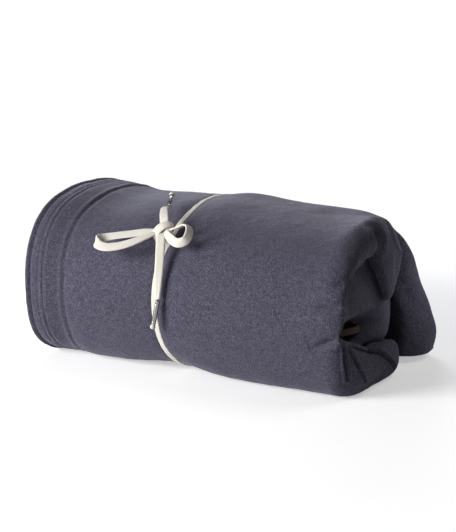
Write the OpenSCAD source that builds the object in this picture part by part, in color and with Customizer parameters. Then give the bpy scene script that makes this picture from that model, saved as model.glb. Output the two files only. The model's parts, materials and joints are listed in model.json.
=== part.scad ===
// Fleece throw blanket, folded lengthwise, rolled up and tied with a flat drawcord.
// X runs along the roll from the hemmed end to the folded end, -Y is the side that
// carries the bow, +Z is up, and the origin is the middle of the face it rests on.

/* [Roll] */
// Length of the roll from the inner ply's hem to the flap's lower corner
roll_length = 350; // [330:1:380]
// Depth of the roll from the bow side to the flap side
roll_depth = 224; // [210:1:240]
// Height of the roll
roll_height = 168; // [160:1:180]
// Squareness of the oval section, where 2 is a plain ellipse
oval_power = 2.4; // [2.2:0.1:2.8]
// How far the roll's own weight flattens it against the floor
floor_press = 4; // [3:0.5:6]
// Thickness of one turn of the folded cloth
wrap_thickness = 11; // [9:0.5:11.5]
// Mean distance from one turn to the next
turn_pitch = 16; // [16:0.5:18]
// How much looser the turns lie at the flap side than at the bow side
turn_looseness = 4; // [0:0.5:4]
// Number of turns between the outer wrap and the core
inner_turns = 2; // [1:1:2]

/* [Hems] */
// Width of the hem band at the open end of the roll
end_hem_width = 32; // [28:1:36]
// How far the inner ply's hem stands out past the outer ply's
inner_ply_reach = 5; // [4:1:8]
// Distance from the rim of the hem band to its stitching
rim_stitch_inset = 7; // [5:1:9]
// Thickness of the inner ply's hem
ply_thickness = 5; // [3:0.5:6]
// Width of the hem along the blanket's free edge
free_hem_width = 18; // [16:1:24]
// Distance between the two rows of stitching on each hem
stitch_spacing = 5; // [4:0.5:6]
// Width of a row of stitching
stitch_width = 0.9; // [0.6:0.1:1.2]
// How far the stitching stands proud of the cloth
stitch_proud = 0.5; // [0.3:0.1:0.8]

/* [Flap] */
// Angle round the section at which the flap leaves the roll
flap_angle = 50; // [45:5:60]
// Radius of the soft bend that the flap turns on
flap_bend_r = 3; // [2:0.5:4]
// Height of the flap's free edge above the floor
flap_clearance = 10; // [8:1:20]
// How far the flap's free edge hangs in from the widest part of the roll
flap_lean = 8; // [4:1:10]
// How much further the flap's folded end reaches at its free edge than at its top
flap_flare = 40; // [20:1:45]
// How far the flap's folded end opens out towards the roll at its free edge
flap_fold_width = 54; // [40:1:56]

/* [Folded end] */
// How far the roll's folded end lies in from the flap's lower corner
fold_setback = 12; // [8:1:20]
// Distance behind the roll's middle at which its folded end starts to slant away
fold_corner_y = 15; // [5:1:20]
// Angle of that slanted corner
fold_corner_angle = 28; // [24:1:32]

/* [Drawcord] */
// Width of the cord where it lies flat
cord_width = 9; // [7:0.5:10]
// Width of the cord where it is pulled tight round the roll
cord_tight_width = 6; // [5:0.5:7]
// Thickness of the flat cord
cord_thickness = 2.4; // [1.8:0.2:3]
// Place of the cord along the roll
cord_x = -31; // [-36:1:-24]
// Radius of the knot in the middle of the bow
knot_r = 8; // [7:0.5:8.5]
// Length of the bow's longer loop, from the knot to its end
left_loop_length = 58; // [50:1:70]
// Length of the bow's shorter loop, from the knot to its end
right_loop_length = 20; // [15:1:24]
// Outer diameter of the metal tips
aglet_d = 4.4; // [4:0.2:5]
// Length of the metal tips
aglet_length = 24; // [20:1:28]

/* [Hidden] */
$fn = 48;

arc_step = 5; // degrees between the points of a section
fit_gap = 0.3; // gap between pieces that lie against each other
touch_gap = 0.02; // gap between stitching and the cloth it lies on
hem_proud = 0.5; // how far the free edge's hem stands proud on each side
band_proud = 1; // how far the hem band stands proud of the roll
part_gap = 1; // gap where cloth parts so that the flap can lift
oval_a = roll_depth / 2;
oval_b = (roll_height + floor_press) / 2;
oval_z = roll_height - oval_b;
step_from = 300; // each turn steps inward between these two angles
step_to = 360;
hem_x = -roll_length / 2;
outer_hem_x = hem_x + inner_ply_reach;
wrap_x = outer_hem_x + end_hem_width;
flap_end_x = roll_length / 2;
fold_x = flap_end_x - fold_setback; // folded end of the outer wrap
inner_fold_x = fold_x - 8;
core_fold_x = fold_x - 14;
flap_cut_x = cord_x + cord_tight_width / 2 + 3;
flap_pivot = section_point(flap_angle, flap_bend_r);
free_hem_top = flap_clearance + free_hem_width;
flap_top_z = oval_z + 40; // above this height the flap's folded end is upright
roll_top = roll_height + 10; // clear of the roll, for shapes that cut right through

// The knot's centre stands off the cloth, and its axis points straight out of it
knot_angle = 148;
knot_standoff = 7;
knot_tilt = 46;
knot_foot = section_point(knot_angle, 0);
knot_centre = [
  cord_x + 3, knot_foot[0] - knot_standoff * sin(knot_tilt),
  knot_foot[1] + knot_standoff * cos(knot_tilt)
];

fleece = [0.37, 0.36, 0.43];
fleece_shade = [0.3, 0.29, 0.36];
thread = [0.45, 0.44, 0.52];
cotton = [0.93, 0.9, 0.84];
nickel = [0.66, 0.64, 0.62];

// Radius of the oval section at angle t, made smaller all round by inset
function oval_r(t, inset) =
  1 / pow(pow(abs(cos(t)) / (oval_a - inset), oval_power)
        + pow(abs(sin(t)) / (oval_b - inset), oval_power), 1 / oval_power);

// Point of the section at angle t, pressed flat where it meets the floor
function section_point(t, inset) =
  let (r = oval_r(t, inset))
  [r * cos(t), max(oval_z + r * sin(t), inset, 0)];

// Turns by which the spiral has stepped inward at angle t
function turns_in(t) =
  t <= step_from ? 0
  : floor((t - step_from) / 360)
    + min(1, ((t - step_from) % 360) / (step_to - step_from));

function inset_of(turns, t) = turns * (turn_pitch + turn_looseness * cos(t));

// Points of the spiral from angle t0 to t1, at a depth below its outer surface
function spiral(t0, t1, depth) =
  [for (t = [t0:arc_step:t1]) section_point(t, inset_of(turns_in(t), t) + depth)];

// Point of the hanging flap at height z, at a depth below its outer surface
function flap_point(z, depth) =
  [oval_a - flap_lean * (oval_z - z) / (oval_z - flap_clearance) - depth, z];

// Closed outline of everything that the cord goes round, made smaller by depth
function girth(depth) = concat(
  [flap_point(flap_clearance - cord_thickness + depth, depth)],
  [for (t = [0:arc_step:step_from - arc_step]) section_point(t, depth)]);

function reversed(list) = [for (i = [len(list) - 1:-1:0]) list[i]];
function unit(v) = v / norm(v);
function heading(path, i) =
  unit(path[min(i + 1, len(path) - 1)] - path[max(i - 1, 0)]);
function beside(path, i, d) = path[i] + d * [-heading(path, i)[1], heading(path, i)[0]];

// Outline of a strip of cord that follows a path in its own plane
function strip(path) = concat(
  [for (i = [0:len(path) - 1]) beside(path, i, cord_thickness / 2)],
  [for (i = [len(path) - 1:-1:0]) beside(path, i, -cord_thickness / 2)]);

// Turns a flat section into a solid that runs from x0 to x1
module along_x(x0, x1)
  translate([x0, 0, 0])
    rotate([90, 0, 90])
      linear_extrude(x1 - x0) children();

// Section of the rolled cloth between two angles, raised above its surface by lift
module turn_section(t0, t1, thickness, lift = 0)
  polygon(concat(spiral(t0, t1, -lift), reversed(spiral(t0, t1, thickness - lift))));

// Section of the flap: over the back of the roll, then hanging from its widest point
module flap_section(z_low, thickness, lift = 0) {
  angles = [0:arc_step:flap_angle];
  outer = concat([flap_point(z_low, -lift)],
                 [for (t = angles) section_point(t, -lift)]);
  inner = concat([flap_point(z_low, thickness - lift)],
                 [for (t = angles) section_point(t, thickness - lift)]);
  polygon(concat(outer, reversed(inner)));
}

// Section of the hem along the flap's free edge
module free_hem_section()
  polygon([flap_point(flap_clearance, -hem_proud), flap_point(free_hem_top, -hem_proud),
           flap_point(free_hem_top, wrap_thickness + hem_proud),
           flap_point(flap_clearance, wrap_thickness + hem_proud)]);

// Rows of stitching along the free edge, from x0 to x1
module free_hem_rows(x0, x1)
  for (row = [0, 1]) {
    z = free_hem_top - 3 - row * stitch_spacing;
    seat = -hem_proud - touch_gap;
    along_x(x0, x1)
      polygon([flap_point(z, seat), flap_point(z + stitch_width, seat),
               flap_point(z + stitch_width, seat - stitch_proud),
               flap_point(z, seat - stitch_proud)]);
  }

// Band that follows the cord's way round the roll
module cord_band(width, outer_depth, inner_depth)
  along_x(cord_x - width / 2, cord_x + width / 2)
    difference() {
      polygon(girth(outer_depth));
      polygon(girth(inner_depth));
    }

module cord_groove()
  cord_band(cord_tight_width + 2 * fit_gap, -3, cord_thickness + fit_gap);

// Everything past the slanted back corner of the folded end, moved out by a clearance
module past_corner(clearance)
  translate([fold_x, fold_corner_y, -1])
    rotate([0, 0, fold_corner_angle - 90])
      translate([-roll_depth, clearance, 0])
        cube([2 * roll_depth, roll_depth, roll_top + 1]);

// The flap's length along the roll, which grows from its top to its free edge
module flap_reach()
  translate([0, roll_depth, 0])
    rotate([90, 0, 0])
      linear_extrude(2 * roll_depth)
        polygon([[flap_cut_x, 0], [flap_end_x, 0], [flap_end_x, flap_clearance],
                 [flap_end_x - flap_flare, flap_top_z], [flap_end_x - flap_flare, roll_top],
                 [flap_cut_x, roll_top]]);

// The folded end of the flap between two heights: a wedge that opens towards the floor
module flap_wedge(z_low, z_high) {
  lining = wrap_thickness + hem_proud;
  back_y = flap_point(flap_clearance, lining)[0];
  intersection() {
    translate([0, 0, z_low])
      linear_extrude(z_high - z_low)
        polygon([[flap_end_x, back_y], [flap_end_x, oval_a], [fold_x - 50, oval_a],
                 [flap_end_x - flap_fold_width / 2, back_y - flap_fold_width / 1.3]]);
    along_x(0, flap_end_x)
      polygon(concat([[0, 0], flap_point(flap_clearance, lining)],
                     [for (t = [0:arc_step:flap_angle]) section_point(t, lining)],
                     [[0, flap_top_z + 20]]));
    past_corner(3 * part_gap);
    flap_reach();
  }
}

// Sliver taken off the wrap's edge so that the flap's edge doesn't rub on it
module flap_edge_sliver() {
  sliver_angle = 0.6;
  low = wrap_thickness + 1;
  polygon([section_point(flap_angle, low), section_point(flap_angle, flap_bend_r),
           section_point(flap_angle + sliver_angle, flap_bend_r),
           section_point(flap_angle + sliver_angle, low)]);
}

module outer_wrap() color(fleece) {
  held_x = flap_cut_x - part_gap;
  difference() {
    union() {
      along_x(wrap_x, fold_x) turn_section(flap_angle, flap_angle + 360, wrap_thickness);
      along_x(wrap_x, held_x) flap_section(free_hem_top, wrap_thickness);
    }
    along_x(held_x, fold_x + 1) {
      translate(flap_pivot) circle(flap_bend_r + 2 * fit_gap);
      flap_edge_sliver();
    }
    cord_groove();
    past_corner(0);
  }
}

module inner_wraps() color(fleece_shade)
  difference() {
    along_x(outer_hem_x + 6, inner_fold_x)
      turn_section(flap_angle + 360, step_from + 360 * inner_turns, wrap_thickness);
    past_corner(0);
  }

// Hollow in the folded end of the core, where the loop of cord is tucked in
pocket_y = -52;
pocket_z = 61;
pocket_length = 36;
pocket_depth = 14;

module core_roll() color(fleece_shade)
  difference() {
    along_x(outer_hem_x + 10, core_fold_x)
      polygon([for (t = [0:arc_step:360 - arc_step])
        section_point(t, inset_of(inner_turns + 1, t))]);
    translate([core_fold_x - pocket_depth, pocket_y - pocket_length / 2,
               pocket_z - cord_width / 2 - 2])
      cube([pocket_depth + 1, pocket_length, cord_width + 4]);
    past_corner(0);
  }

module outer_ply_hem() color(fleece)
  along_x(outer_hem_x, wrap_x) {
    turn_section(flap_angle, step_to - 10, wrap_thickness + band_proud, band_proud);
    flap_section(flap_clearance, wrap_thickness + band_proud, band_proud);
  }

module inner_ply_hem() color(fleece) {
  tuck = (wrap_thickness - ply_thickness) / 2;
  along_x(hem_x, outer_hem_x - fit_gap) {
    turn_section(flap_angle, step_to - 10, ply_thickness, -tuck);
    flap_section(flap_clearance, ply_thickness, -tuck);
  }
}

module back_edge_hem() color(fleece)
  difference() {
    along_x(wrap_x, flap_cut_x - part_gap) free_hem_section();
    cord_groove();
  }

// Fixed stitching: round the open end down to the floor, and along the free edge
module roll_hem_stitching() color(thread) {
  floor_angle = 230;
  lift = band_proud + stitch_proud;
  for (row = [0, 1]) {
    x = outer_hem_x + rim_stitch_inset + row * stitch_spacing;
    along_x(x, x + stitch_width) {
      turn_section(flap_angle, floor_angle, stitch_proud, lift);
      flap_section(flap_clearance, stitch_proud, lift);
    }
  }
  free_hem_rows(wrap_x + 1, cord_x - cord_tight_width / 2 - part_gap);
}

module back_flap() color(fleece)
  intersection() {
    along_x(flap_cut_x, flap_end_x) {
      flap_section(free_hem_top, wrap_thickness);
      translate(flap_pivot) circle(flap_bend_r + fit_gap);
    }
    flap_reach();
  }

module flap_folded_end() color(fleece)
  flap_wedge(free_hem_top, flap_top_z);

module flap_hem() color(fleece) {
  intersection() {
    along_x(flap_cut_x, flap_end_x) free_hem_section();
    flap_reach();
  }
  flap_wedge(flap_clearance, free_hem_top);
}

module flap_hem_stitching() color(thread)
  free_hem_rows(flap_cut_x + 2, flap_end_x - 8);

module cord_wrap() color(cotton)
  cord_band(cord_tight_width, 0, cord_thickness);

// Frame of the bow: x along the roll, y up along the cloth, z out of the cloth
module at_knot()
  translate(knot_centre) rotate([knot_tilt, 0, 0]) children();

module bow_knot() color(cotton)
  at_knot()
    rotate_extrude()
      polygon([[0, -6], [4, -6], [knot_r - 0.5, -2.5], [knot_r, 0], [knot_r - 1, 4],
               [5, 6], [0, 6.5]]);

// A loop of flat cord: a round-ended hoop that narrows towards the knot
module bow_loop(length, width, lean) {
  steps = 24;
  mouth_r = knot_r + fit_gap;
  path = [for (i = [0:steps])
    let (from_end = abs(2 * i / steps - 1),
         reach = mouth_r + length * (1 - pow(from_end, 2.2)),
         open = width / 2 * sin(180 * pow(1 - from_end, 0.75)) + 1.6,
         way = sign(steps / 2 - i))
    [reach, way * open]];
  rotate([lean, 0, 0])
    translate([0, 0, 1 - cord_width / 2])
      linear_extrude(cord_width)
        difference() {
          polygon(strip(path));
          circle(mouth_r + 0.4);
        }
}

module bow_loop_left() color(cotton)
  at_knot() rotate([0, 0, 188]) bow_loop(left_loop_length, 17, 14);

module bow_loop_right() color(cotton)
  at_knot() rotate([0, 0, -6]) bow_loop(right_loop_length, 15, -14);

module aglet()
  rotate([180, 0, 0])
    difference() {
      cylinder(d = aglet_d, h = aglet_length);
      translate([0, 0, -1]) cylinder(d = aglet_d - 0.8, h = aglet_length + 2);
    }

// The cord's end inside a metal tip, with the knotted tuft that keeps it there
module cord_end() {
  tuft_r = 2.6;
  rotate([180, 0, 0]) {
    cylinder(d = aglet_d - 0.8, h = aglet_length);
    translate([0, 0, aglet_length])
      rotate_extrude()
        polygon([[0, 0], [aglet_d / 2 - 0.4, 0], [tuft_r, 1.6], [tuft_r, 3],
                 [1.6, 4.6], [0, 5]]);
  }
}

// The round tip that a metal tip turns on, at the end of each tail
tip_r = 2.8;
aglet_gap = tip_r + 0.4;

module tail_tip()
  cylinder(r = tip_r, h = cord_thickness, center = true);

// Long tail: leaves the knot downwards, passes the widest part and hangs free
tail_x = knot_centre[0] + 3.5;
tail_hang_y = -oval_a - 4;
tail_pivot = [tail_x - 0.5, tail_hang_y, oval_z];

module long_tail() color(cotton) {
  foot_z = knot_centre[2];
  path = [[knot_centre[1] - 7.5, foot_z - 8.5], [tail_hang_y + 9, foot_z - 19],
          [tail_hang_y + 4.5, foot_z - 29], [tail_hang_y + 1.5, foot_z - 39],
          [tail_hang_y + 0.3, foot_z - 49], [tail_hang_y, oval_z]];
  difference() {
    union() {
      along_x(tail_x - cord_width / 2, tail_x + cord_width / 2 - 1) polygon(strip(path));
      translate(tail_pivot) rotate([90, 0, 0]) tail_tip();
    }
    translate(knot_centre) rotate([90, 0, 0])
      cylinder(r = knot_r + 1.5, h = 30, center = true);
  }
}

module at_long_aglet()
  translate(tail_pivot) rotate([0, 12, 0]) translate([0, 0, -aglet_gap]) children();

module long_tail_aglet() color(nickel) at_long_aglet() aglet();
module long_tail_end_knot() color(cotton) at_long_aglet() cord_end();

// Short tail: leaves the knot upwards and follows the curve of the cloth
short_turn = 23; // degrees to the left of straight up
short_pivot = [0, 36, -10.4];
short_slope = -26; // slope of the metal tip against the plane of the bow

module at_short_tip()
  at_knot() rotate([0, 0, short_turn]) translate(short_pivot)
    rotate([short_slope, 0, 0]) children();

module short_tail() color(cotton) {
  path = [[7, 0], [14, -0.8], [24, -4.2], [short_pivot[1] - 1.5, short_pivot[2] + 0.7]];
  difference() {
    union() {
      at_knot() rotate([0, 0, short_turn])
        translate([-cord_width / 2, 0, 0]) rotate([90, 0, 90])
          linear_extrude(cord_width) polygon(strip(path));
      at_short_tip() tail_tip();
    }
    at_knot() cylinder(r = knot_r + fit_gap, h = 30, center = true);
  }
}

module at_short_aglet()
  at_short_tip() rotate([90, 0, 0]) translate([0, 0, -aglet_gap]) children();

module short_tail_aglet() color(nickel) at_short_aglet() aglet();
module short_tail_end_knot() color(cotton) at_short_aglet() cord_end();

module core_cord_loop() color(cotton) {
  bend_r = 4;
  steps = 8;
  left_y = pocket_y - pocket_length / 2 + 1;
  right_y = pocket_y + pocket_length / 2 - bend_r - cord_thickness;
  x = core_fold_x - bend_r - cord_thickness;
  path = concat(
    [[x + bend_r, left_y]],
    [for (i = [0:steps]) let (a = 180 * i / steps)
      [x + bend_r * cos(a), right_y + bend_r * sin(a)]],
    [[x - bend_r, left_y]]);
  translate([0, 0, pocket_z])
    linear_extrude(cord_width, center = true) polygon(strip(path));
}

outer_wrap();
inner_wraps();
core_roll();
outer_ply_hem();
inner_ply_hem();
back_edge_hem();
roll_hem_stitching();
back_flap();
flap_folded_end();
flap_hem();
flap_hem_stitching();
cord_wrap();
bow_knot();
bow_loop_left();
bow_loop_right();
long_tail();
long_tail_aglet();
long_tail_end_knot();
short_tail();
short_tail_aglet();
short_tail_end_knot();
core_cord_loop();
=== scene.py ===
"""Fleece throw blanket, rolled up and tied with a drawcord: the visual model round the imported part.

X runs along the roll from its hemmed end to its folded end, -Y is the side with the bow, Z is up.
Shapes are worked out in millimetres, and new_piece() turns them into metres.
"""

import itertools
import json
import math

import bpy
import numpy as np
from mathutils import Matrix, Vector
from mathutils.bvhtree import BVHTree


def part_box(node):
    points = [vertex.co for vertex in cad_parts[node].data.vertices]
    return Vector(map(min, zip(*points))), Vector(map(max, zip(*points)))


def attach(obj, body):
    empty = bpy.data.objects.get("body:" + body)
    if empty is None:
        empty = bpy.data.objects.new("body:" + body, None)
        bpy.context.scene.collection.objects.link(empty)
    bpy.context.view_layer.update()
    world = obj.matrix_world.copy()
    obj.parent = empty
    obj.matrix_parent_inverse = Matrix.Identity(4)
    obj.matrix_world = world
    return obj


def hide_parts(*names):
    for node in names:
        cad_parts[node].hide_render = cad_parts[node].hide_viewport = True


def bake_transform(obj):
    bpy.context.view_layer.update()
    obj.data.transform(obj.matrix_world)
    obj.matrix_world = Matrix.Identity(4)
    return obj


MM = 0.001

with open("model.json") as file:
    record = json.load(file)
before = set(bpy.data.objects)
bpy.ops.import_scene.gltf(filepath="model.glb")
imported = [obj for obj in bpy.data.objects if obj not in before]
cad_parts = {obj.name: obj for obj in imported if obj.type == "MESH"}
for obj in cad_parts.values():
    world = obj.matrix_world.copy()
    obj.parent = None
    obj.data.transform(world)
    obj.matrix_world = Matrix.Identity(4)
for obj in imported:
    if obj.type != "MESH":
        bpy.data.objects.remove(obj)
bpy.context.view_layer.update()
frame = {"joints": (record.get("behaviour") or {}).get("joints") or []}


def box_mm(node):
    low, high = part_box(node)
    return np.array(low) / MM, np.array(high) / MM


# ---------------------------------------------------------------- sizes read from the frame

wrap_low, wrap_high = box_mm("outer_wrap")
outer_hem_low, outer_hem_high = box_mm("outer_ply_hem")
inner_hem_low, inner_hem_high = box_mm("inner_ply_hem")
flap_hem_low, flap_hem_high = box_mm("flap_hem")
knot_low, knot_high = box_mm("bow_knot")
cord_low, cord_high = box_mm("cord_wrap")

FLOOR_PRESS = 4  # how far the roll's weight flattens it
OVAL_POWER = 2.4  # squareness of the section
FLATTEST = 0.55  # least height of the innermost turns, as a share of their width
HALF_DEPTH = wrap_high[1]
HALF_HEIGHT = (wrap_high[2] + FLOOR_PRESS) / 2
MID_Z = wrap_high[2] - HALF_HEIGHT
TURN_PITCH = 16
TURN_LOOSENESS = 4
STEP_FROM = 300  # each turn steps inward between this angle and the next full turn
FLAP_ANGLE = 50  # where the flap leaves the roll
FLAP_LEAN = 8
HANG_ANGLE = 40  # span of q, below zero, that stands for the hanging part of the flap
CLOTH = 11  # thickness of the folded cloth
PLY = 5.6  # thickness of one ply at the hemmed end

RIM_X = outer_hem_low[0]
INNER_RIM_X = inner_hem_low[0]
SEAM_X = outer_hem_high[0]
FOLD_X = wrap_high[0]
FLAP_END_X = flap_hem_high[0]
FREE_EDGE_Z = flap_hem_low[2]
CORD_X = (cord_low[0] + cord_high[0]) / 2
KNOT = (knot_low + knot_high) / 2


# ---------------------------------------------------------------- curves and fields


def smoothstep(value, low, high):
    t = np.clip((value - low) / (high - low), 0, 1)
    return t * t * (3 - 2 * t)


def smooth_curve(at, stations, values):
    """Values at any place along a smooth curve through the given stations."""
    stations = np.asarray(stations, float)
    values = np.asarray(values, float)
    values = values.reshape(len(stations), -1)
    slopes = np.gradient(values, stations, axis=0)
    at = np.clip(np.asarray(at, float), stations[0], stations[-1])
    i = np.clip(np.searchsorted(stations, at, side="right") - 1, 0, len(stations) - 2)
    span = (stations[i + 1] - stations[i])[..., None]
    t = (at[..., None] - stations[i][..., None]) / span
    out = (
        values[i] * (1 + 2 * t) * (1 - t) ** 2
        + slopes[i] * span * t * (1 - t) ** 2
        + values[i + 1] * t * t * (3 - 2 * t)
        + slopes[i + 1] * span * t * t * (t - 1)
    )
    return out[..., 0] if out.shape[-1] == 1 else out


def lumps(points, cell, seed):
    """Smooth random heights between -1 and 1, on a lattice with the given cell."""
    size = 32
    lattice = np.random.default_rng(seed).uniform(-1, 1, (size, size, size))
    place = points / cell
    base = np.floor(place).astype(int)
    part = place - base
    part = part * part * (3 - 2 * part)
    total = np.zeros(points.shape[:-1])
    for corner in itertools.product((0, 1), repeat=3):
        weight = np.prod(np.where(corner, part, 1 - part), axis=-1)
        i, j, k = np.moveaxis((base + np.array(corner)) % size, -1, 0)
        total += weight * lattice[i, j, k]
    return total


def unit(vectors):
    return vectors / np.maximum(np.linalg.norm(vectors, axis=-1, keepdims=True), 1e-9)


# ---------------------------------------------------------------- section of the roll


def turns_in(q):
    """Turns by which the spiral has stepped inward at angle q."""
    past = np.maximum(q - STEP_FROM, 0)
    step = smoothstep(past % 360, 0, 360 - STEP_FROM)
    return np.where(q <= STEP_FROM, 0, np.floor(past / 360) + step)


def oval(q, inset):
    """(y, z) of the section at angle q, made smaller all round by inset."""
    c, s = np.cos(np.radians(q)), np.sin(np.radians(q))
    half_width = np.maximum(HALF_DEPTH - inset, 1)
    wide = np.abs(c) / half_width
    tall = np.abs(s) / np.maximum(HALF_HEIGHT - inset, FLATTEST * half_width)
    r = (wide**OVAL_POWER + tall**OVAL_POWER) ** (-1 / OVAL_POWER)
    above = MID_Z + r * s - inset
    softness = 3
    floor = inset + (above + np.sqrt(above**2 + softness**2)) / 2
    return r * c, np.where(above > 20, MID_Z + r * s, floor)


def cloth_at(q, depth):
    """(y, z) on the cloth at q, below its outer surface by depth. Below 0 the flap hangs."""
    turn = turns_in(q)
    y, z = oval(q, turn * (TURN_PITCH + TURN_LOOSENESS * np.cos(np.radians(q))) + depth)
    drop = np.clip(-q / HANG_ANGLE, 0, 1)
    hang_y = HALF_DEPTH - FLAP_LEAN * drop**2 - depth
    hang_z = MID_Z - (MID_Z - FREE_EDGE_Z) * drop
    return np.where(q < 0, hang_y, y), np.where(q < 0, hang_z, z)


def cord_path_x(angle):
    """Place of the drawcord along the roll at an angle round the section."""
    stations = [0, 60, 83, 100, 126, 148, 168, 188, 206, 222, 238, 252, 280, 305, 360]
    offsets = [0, -1, -2, 2, 6.5, 5, 0, -3, 0, 10, 22, 25, 14, 3, 0]
    return CORD_X + smooth_curve(np.mod(angle, 360), stations, offsets)


def settle(points):
    """Moves points of the even roll to where the real one lies: sagging, flared and tied."""
    x, y, z = np.moveaxis(points, -1, 0)
    angle = np.mod(np.degrees(np.arctan2(z - MID_Z, y)), 360)
    radius = np.hypot(y, z - MID_Z)
    near_surface = smoothstep(radius, 25, 75)

    sag_x = [-175, -150, -120, -60, 0, 30, 86, 110, 128, 145, 175]
    sag_z = [-3, -4, -9, -6.5, -3, -6, -9.5, -11, -11, -9, -10]
    high = np.clip((z - MID_Z) / HALF_HEIGHT, 0, 1) ** 1.3
    dz = smooth_curve(x, sag_x, sag_z) * high
    # the folded end droops towards its back corner
    droop = smooth_curve(x, [90, 106, 120, 134, 144, 152, 160, 175], [0, 0, 2, 7, 13, 21, 30, 39])
    dz = dz - droop * np.clip(y / 61, 0, 1.15) * smoothstep(z, 116, 152)
    # the flap hangs lowest inside its folded end, and its lower corner is rounded
    hangs = smoothstep(-z, -60, -8) * smoothstep(y, 20, 48)
    corner = smoothstep(x, 162, 180) * smoothstep(y, 76, 108)
    dz = dz + hangs * (6 * corner - 6.5 * smoothstep(x, 90, 140))

    flare = smoothstep(-x, 138, 164) * (1 + 0.15 * smoothstep(-x, 162, 175))
    flare_angle = [0, 40, 90, 120, 145, 165, 190, 210, 235, 270, 360]
    flare_size = [0.5, 1, 1.5, 3, 6, 6.5, 7, 9, 7, 3, 0.5]
    out = flare * smooth_curve(angle, flare_angle, flare_size)

    from_cord = x - cord_path_x(angle)
    tied = np.exp(-((from_cord / 5) ** 2)) * 1.8 + np.exp(-((from_cord / 28) ** 2)) * 2.2
    out = out - tied * smoothstep(z, 0, 30)
    low_front = smoothstep(-y, 8, 45) * smoothstep(-z, -40, -4)
    dz = dz + 5 * np.exp(-(((x + 28) / 40) ** 2)) * low_front
    dz = dz + 4 * smoothstep(-x, 140, 172) * low_front
    # the weight of the cloth squares the lower front corner
    slump = np.exp(-(((angle - 221) / 15) ** 2)) * (8 + 5 * smoothstep(x, -30, 60))
    out = out + slump * smoothstep(x, -165, -120)

    out = out + 1.5 * lumps(points, 58, 3) + 0.5 * lumps(points, 21, 8)
    out = out * near_surface
    moved = np.stack(
        [
            x - 2 * flare,
            y + out * np.cos(np.radians(angle)),
            z + dz + out * np.sin(np.radians(angle)),
        ],
        axis=-1,
    )
    return moved


# ---------------------------------------------------------------- making meshes


def grid_faces(rows, columns, close_rows=False):
    faces = []
    for i in range(rows if close_rows else rows - 1):
        here, there = i * columns, (i + 1) % rows * columns
        for j in range(columns):
            k = (j + 1) % columns
            faces.append((here + j, here + k, there + k, there + j))
    if not close_rows:
        faces.append(tuple(range(columns))[::-1])
        faces.append(tuple(range((rows - 1) * columns, rows * columns)))
    return faces


def grid_normals(grid, close_rows=False):
    """Outward normals of a tube of points: each row is a closed ring."""
    around = np.roll(grid, -1, axis=1) - np.roll(grid, 1, axis=1)
    if close_rows:
        along = np.roll(grid, -1, axis=0) - np.roll(grid, 1, axis=0)
    else:
        along = np.gradient(grid, axis=0)
    return unit(np.cross(around, along))


def tube_volume(grid):
    """Signed volume that tells which way a tube's rings run."""
    a = grid[:-1]
    b = np.roll(grid, -1, axis=1)[:-1]
    c = grid[1:]
    d = np.roll(grid, -1, axis=1)[1:]
    return np.sum(np.cross(a, b) * d) + np.sum(np.cross(a, d) * c)


def outward(grid):
    """The same tube with its rings turned so that the normals point outward."""
    return grid if tube_volume(grid) > 0 else grid[:, ::-1]


def new_piece(name, points, faces, material, sharp_angle=50):
    mesh = bpy.data.meshes.new(name)
    mesh.from_pydata((np.asarray(points) * MM).tolist(), [], faces)
    mesh.materials.append(material)
    mesh.polygons.foreach_set("use_smooth", [True] * len(mesh.polygons))
    mesh.set_sharp_from_angle(angle=math.radians(sharp_angle))
    mesh.update()
    piece = bpy.data.objects.new(name, mesh)
    bpy.context.scene.collection.objects.link(piece)
    return piece


def tube_piece(name, grid, material, close_rows=False, sharp_angle=50):
    rows, columns = grid.shape[:2]
    faces = grid_faces(rows, columns, close_rows)
    return new_piece(name, grid.reshape(-1, 3), faces, material, sharp_angle)


def joined(parts):
    """One list of points and faces from several (points, faces)."""
    points, faces = [], []
    for some_points, some_faces in parts:
        start = len(points)
        points.extend(np.asarray(some_points).tolist())
        faces.extend(tuple(start + i for i in face) for face in some_faces)
    return points, faces


# ---------------------------------------------------------------- creases


def laid_on(surface, points, step=1.2):
    """A smooth line through the points, laid on the nearest places of a surface."""
    points = np.asarray(points, float)
    length = np.sum(np.linalg.norm(np.diff(points, axis=0), axis=1))
    t = np.linspace(0, 1, max(6, int(length / step)))
    line = smooth_curve(t, np.linspace(0, 1, len(points)), points)
    away = np.linalg.norm(surface[None] - line[:, None], axis=2)
    line = surface[np.argmin(away, axis=1)]
    for _ in range(4):
        line[1:-1] = (line[:-2] + 2 * line[1:-1] + line[2:]) / 4
    return t, line


def creased(grid, normals, creases):
    """Pushes a surface in along creases, each (points, depth, width), and swells it beside them."""
    flat = grid.reshape(-1, 3)
    push = np.zeros(len(flat))
    for points, depth, width in creases:
        middle = np.mean(points, axis=0)
        reach = np.max(np.linalg.norm(points - middle, axis=1)) + 4 * width + 15
        near = np.flatnonzero(np.linalg.norm(flat - middle, axis=1) < reach)
        t, line = laid_on(flat[near], points)
        away = np.linalg.norm(flat[near][None] - line[:, None], axis=2)
        fade = np.sin(np.pi * (0.12 + 0.76 * t))[np.argmin(away, axis=0)]
        ratio = np.min(away, axis=0) / width
        fold = np.exp(-np.sqrt(ratio**2 + 0.06)) - 0.22 * np.exp(-((ratio - 2.3) ** 2))
        push[near] += depth * fade * fold
    return grid - normals * push.reshape(grid.shape[:-1])[..., None]


def keep_above_floor(grid, height=0.3):
    grid = grid.copy()
    grid[..., 2] = np.maximum(grid[..., 2], height)
    return grid


def fuzzed(grid, normals, size=0.25):
    """Fine unevenness of the brushed cloth."""
    return grid + normals * (size * lumps(grid, 7, 21))[..., None]


# ---------------------------------------------------------------- outer cloth, q 50 to 410

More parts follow.
